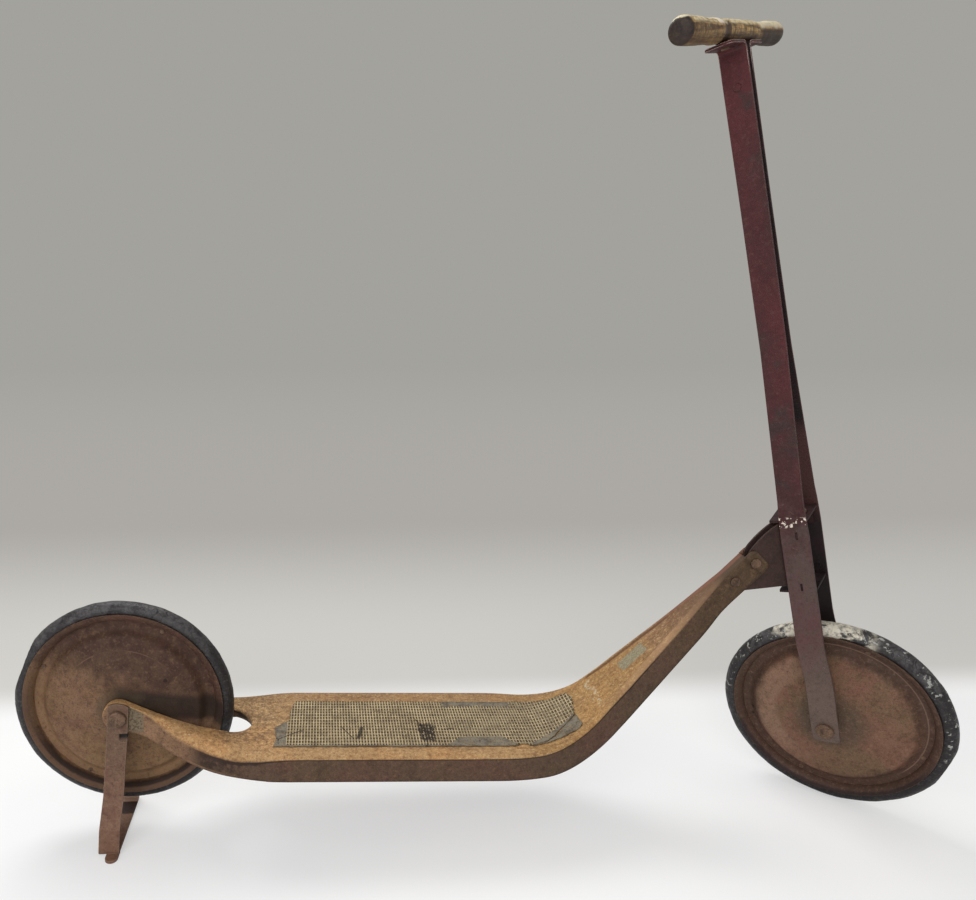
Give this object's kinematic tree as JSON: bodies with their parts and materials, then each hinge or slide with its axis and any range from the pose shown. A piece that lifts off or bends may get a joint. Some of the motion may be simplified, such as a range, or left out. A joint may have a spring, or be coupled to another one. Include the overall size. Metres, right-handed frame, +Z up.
{
  "type": "kick scooter",
  "caption": "Child's kick scooter with a pressed-steel platform, disc wheels with solid tyres, a fork of two flat legs with a wooden grip, and a folding parking stand",
  "frame": {"origin": "on the floor, under the middle of the scooter's bounding box, as it stands on its stand and its front wheel", "axes": "+X forward, +Y to the rider's left, +Z up"},
  "size_m": [1.0808, 0.2116, 0.9034],
  "materials": {
    "ochre_paint": "worn",
    "maroon_paint": "worn",
    "brown_paint": "worn",
    "disc_paint": "worn",
    "steel": "tarnished",
    "mat": "matte",
    "tyre": "matte",
    "wood": "worn"
  },
  "bodies": {
    "frame": {"deck": "ochre_paint", "deck_mat": "mat", "head_bracket": "maroon_paint", "neck_rivets": "steel", "rear_axle_bolt": "steel", "rear_axle_nut": "steel", "rear_axle_washer": "steel", "rear_axle_spacers": "steel"},
    "fork": {"fork_leg_right": "maroon_paint", "fork_leg_left": "maroon_paint", "upper_crosspiece": "maroon_paint", "lower_crosspiece": "maroon_paint", "steering_pin": "steel", "steering_pin_nut": "steel", "steering_pin_washer": "steel", "column_rivet": "steel", "column_sleeve": "steel", "grip": "wood", "grip_screws": "steel", "front_axle_bolt": "steel", "front_axle_nut": "steel", "front_axle_washer": "steel", "front_axle_spacers": "steel"},
    "front_wheel": {"front_disc_right": "disc_paint", "front_disc_left": "disc_paint", "front_hub": "steel", "front_disc_rivets": "steel", "front_tyre": "tyre"},
    "rear_wheel": {"rear_disc_right": "disc_paint", "rear_disc_left": "disc_paint", "rear_hub": "steel", "rear_disc_rivets": "steel", "rear_tyre": "tyre"},
    "stand": {"stand": "brown_paint"}
  },
  "joints": [
    {"name": "steering", "type": "hinge", "parent": "frame", "child": "fork", "pos_m": [0.43807, 0, 0.1234], "axis": [-0.2779, 0, 0.9606], "range_deg": [0, 88]},
    {"name": "front_wheel_spin", "type": "hinge", "parent": "fork", "child": "front_wheel", "pos_m": [0.44297, -0.00493, 0.12482], "axis": [0.6673, 0.7193, 0.1931], "continuous": true},
    {"name": "rear_wheel_spin", "type": "hinge", "parent": "frame", "child": "rear_wheel", "pos_m": [-0.41337, 0, 0.1628], "axis": [0, 1, 0], "continuous": true},
    {"name": "stand_fold", "type": "hinge", "parent": "frame", "child": "stand", "pos_m": [-0.41337, 0, 0.1628], "axis": [0, 1, 0], "range_deg": [0, 115]}
  ]
}
